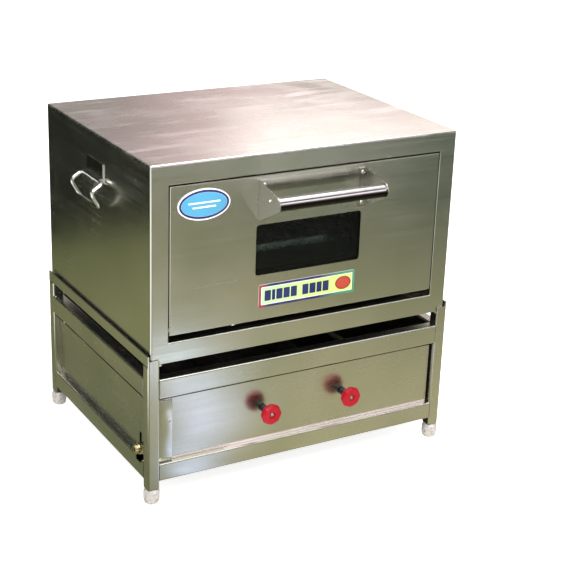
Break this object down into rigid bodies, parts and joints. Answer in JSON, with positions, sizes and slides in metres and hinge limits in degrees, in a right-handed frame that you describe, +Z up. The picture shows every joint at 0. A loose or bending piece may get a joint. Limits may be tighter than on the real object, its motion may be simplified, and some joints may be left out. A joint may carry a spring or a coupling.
{
  "type": "deck oven",
  "caption": "Small gas deck oven on a low four-legged burner stand, with a drop-down windowed door, tube handle, side lifting bails and valve knobs.",
  "frame": {"origin": "on the floor, under the middle of the whole object's box", "axes": "+Z up, -Y out of the oven's front, +X to the right as seen from the front"},
  "size_m": [0.6684, 0.5457, 0.621],
  "materials": {
    "stand_steel": "brushed stainless sheet and tube",
    "foot_plating": "bright zinc or chrome plating",
    "dark_steel": "heat-darkened steel",
    "brass": "machined brass",
    "knob_red": "glossy moulded plastic",
    "black_plastic": "matt black",
    "burner_iron": "raw, heat-darkened",
    "casing_steel": "brushed stainless sheet, scuffed on top",
    "door_steel": "brushed stainless sheet",
    "polished_steel": "polished",
    "smoked_glass": "toughened, dark behind",
    "hearth_stone": "fired refractory, open grain",
    "mineral_wool": "matted mineral fibre",
    "label_print": "printed, glossy",
    "badge_print": "printed, glossy"
  },
  "bodies": {
    "stand": {"leg_front_left": "stand_steel", "leg_front_right": "stand_steel", "leg_rear_left": "stand_steel", "leg_rear_right": "stand_steel", "top_rail_front": "stand_steel", "top_rail_rear": "stand_steel", "top_rail_left": "stand_steel", "top_rail_right": "stand_steel", "bottom_rail_front": "stand_steel", "bottom_rail_rear": "stand_steel", "bottom_rail_left": "stand_steel", "bottom_rail_right": "stand_steel", "burner_panel": "stand_steel", "stand_left_panel": "stand_steel", "stand_right_panel": "stand_steel", "stand_rear_panel": "stand_steel", "stand_bottom_sheet": "dark_steel", "oven_seat_left": "stand_steel", "oven_seat_right": "stand_steel", "gas_manifold": "dark_steel", "hose_nozzle": "brass", "gas_valve_left": "brass", "gas_valve_right": "brass", "burner_tube_left": "burner_iron", "burner_tube_right": "burner_iron"},
    "oven": {"oven_top_cover": "casing_steel", "oven_side_left": "casing_steel", "oven_side_right": "casing_steel", "oven_rear_panel": "casing_steel", "face_frame": "casing_steel", "oven_base_plate": "dark_steel", "chamber_liner": "dark_steel", "insulation_blanket": "mineral_wool", "hearth_stone": "hearth_stone", "upper_shelf": "dark_steel", "shelf_runner_left": "dark_steel", "shelf_runner_right": "dark_steel", "side_handle_plate_left": "polished_steel", "side_handle_plate_right": "polished_steel"},
    "door": {"door_outer_skin": "door_steel", "door_inner_skin": "dark_steel", "window_glass": "smoked_glass", "glass_retainer": "dark_steel", "handle_bracket_left": "polished_steel", "handle_bracket_right": "polished_steel", "handle_tube": "polished_steel", "door_hinge_pin_left": "foot_plating", "door_hinge_pin_right": "foot_plating", "front_label_plate": "label_print", "oval_badge": "badge_print"},
    "left_bail": {"side_handle_bail_left": "polished_steel"},
    "right_bail": {"side_handle_bail_right": "polished_steel"},
    "left_knob": {"burner_knob_left": "knob_red", "valve_spindle_left": "black_plastic"},
    "right_knob": {"burner_knob_right": "knob_red", "valve_spindle_right": "black_plastic"},
    "front_left_foot": {"foot_front_left": "foot_plating"},
    "front_right_foot": {"foot_front_right": "foot_plating"},
    "rear_left_foot": {"foot_rear_left": "foot_plating"},
    "rear_right_foot": {"foot_rear_right": "foot_plating"}
  },
  "joints": [
    {"name": "oven_lift", "type": "slide", "parent": "stand", "child": "oven", "axis": [0, 0, 1], "range_m": [0, 0.15]},
    {"name": "door_hinge", "type": "hinge", "parent": "oven", "child": "door", "pos_m": [0, -0.1916, 0.325], "axis": [1, 0, 0], "range_deg": [0, 90]},
    {"name": "left_bail_hinge", "type": "hinge", "parent": "oven", "child": "left_bail", "pos_m": [-0.3107, 0.0334, 0.541], "axis": [0, 1, 0], "range_deg": [0, 90]},
    {"name": "right_bail_hinge", "type": "hinge", "parent": "oven", "child": "right_bail", "pos_m": [0.3107, 0.0334, 0.541], "axis": [0, -1, 0], "range_deg": [0, 90]},
    {"name": "left_knob_turn", "type": "hinge", "parent": "stand", "child": "left_knob", "pos_m": [-0.0785, -0.2296, 0.1396], "axis": [0, 1, 0], "range_deg": [0, 360]},
    {"name": "right_knob_turn", "type": "hinge", "parent": "stand", "child": "right_knob", "pos_m": [0.09, -0.2296, 0.1396], "axis": [0, 1, 0], "range_deg": [0, 360]},
    {"name": "front_left_foot_screw", "type": "slide", "parent": "stand", "child": "front_left_foot", "axis": [0, 0, -1], "range_m": [0, 0.012]},
    {"name": "front_right_foot_screw", "type": "slide", "parent": "stand", "child": "front_right_foot", "axis": [0, 0, -1], "range_m": [0, 0.012]},
    {"name": "rear_left_foot_screw", "type": "slide", "parent": "stand", "child": "rear_left_foot", "axis": [0, 0, -1], "range_m": [0, 0.012]},
    {"name": "rear_right_foot_screw", "type": "slide", "parent": "stand", "child": "rear_right_foot", "axis": [0, 0, -1], "range_m": [0, 0.012]}
  ]
}
